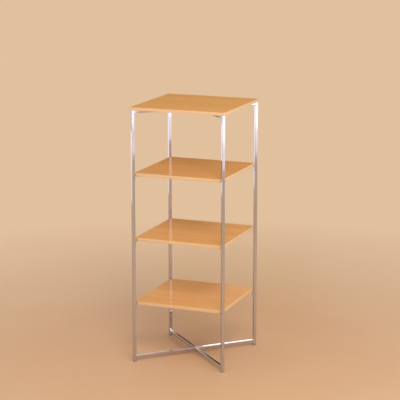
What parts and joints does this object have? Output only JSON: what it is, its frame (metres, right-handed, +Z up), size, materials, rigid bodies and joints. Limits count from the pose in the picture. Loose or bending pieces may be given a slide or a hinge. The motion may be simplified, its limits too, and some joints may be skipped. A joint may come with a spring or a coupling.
{
  "type": "display shelf",
  "caption": "Tall square display shelf: wood boards carried between slim chromed square-tube legs, tied by a diagonal cross near the floor and another under the top board.",
  "frame": {"origin": "on the floor, under the middle of the boards", "axes": "+Z up, +X to the right, +Y to the rear; the front is the side that the picture shows on the left"},
  "size_m": [0.4064, 0.4064, 1.0668],
  "materials": {
    "chromed_tube": "bright polished chrome plate",
    "chromed_bracket": "chrome plate over bent strip, a little less bright than the tubes",
    "peg_steel": "plain turned steel pin",
    "screw_steel": "zinc-plated steel",
    "wood_board": "warm honey-coloured wood face with fine straight grain under a glossy clear coat",
    "wood_edge_band": "paler matching wood edge band, satin",
    "glide_plastic": "dark moulded plastic"
  },
  "bodies": {
    "frame": {"leg_left_front": "chromed_tube", "glide_left_front": "glide_plastic", "leg_right_front": "chromed_tube", "glide_right_front": "glide_plastic", "leg_right_rear": "chromed_tube", "glide_right_rear": "glide_plastic", "leg_left_rear": "chromed_tube", "glide_left_rear": "glide_plastic", "base_cross_long_tube": "chromed_tube", "base_cross_front_arm": "chromed_tube", "base_cross_rear_arm": "chromed_tube", "top_cross_long_tube": "chromed_tube", "top_cross_front_arm": "chromed_tube", "top_cross_rear_arm": "chromed_tube", "upper_shelf_bracket_left_front": "chromed_bracket", "upper_shelf_bracket_right_front": "chromed_bracket", "upper_shelf_bracket_right_rear": "chromed_bracket", "upper_shelf_bracket_left_rear": "chromed_bracket", "upper_shelf_pegs": "peg_steel", "middle_shelf_bracket_left_front": "chromed_bracket", "middle_shelf_bracket_right_front": "chromed_bracket", "middle_shelf_bracket_right_rear": "chromed_bracket", "middle_shelf_bracket_left_rear": "chromed_bracket", "middle_shelf_pegs": "peg_steel", "lower_shelf_bracket_left_front": "chromed_bracket", "lower_shelf_bracket_right_front": "chromed_bracket", "lower_shelf_bracket_right_rear": "chromed_bracket", "lower_shelf_bracket_left_rear": "chromed_bracket", "lower_shelf_pegs": "peg_steel", "top_board_core": "wood_board", "top_board_edge_band": "wood_edge_band", "top_board_screws": "screw_steel"},
    "upper_shelf": {"upper_shelf_core": "wood_board", "upper_shelf_edge_band": "wood_edge_band"},
    "middle_shelf": {"middle_shelf_core": "wood_board", "middle_shelf_edge_band": "wood_edge_band"},
    "lower_shelf": {"lower_shelf_core": "wood_board", "lower_shelf_edge_band": "wood_edge_band"}
  },
  "joints": [
    {"name": "upper_shelf_lift", "type": "slide", "parent": "frame", "child": "upper_shelf", "axis": [0, 0, 1], "range_m": [0, 0.2415]},
    {"name": "middle_shelf_lift", "type": "slide", "parent": "frame", "child": "middle_shelf", "axis": [0, 0, 1], "range_m": [0, 0.235]},
    {"name": "lower_shelf_lift", "type": "slide", "parent": "frame", "child": "lower_shelf", "axis": [0, 0, 1], "range_m": [0, 0.235]}
  ]
}
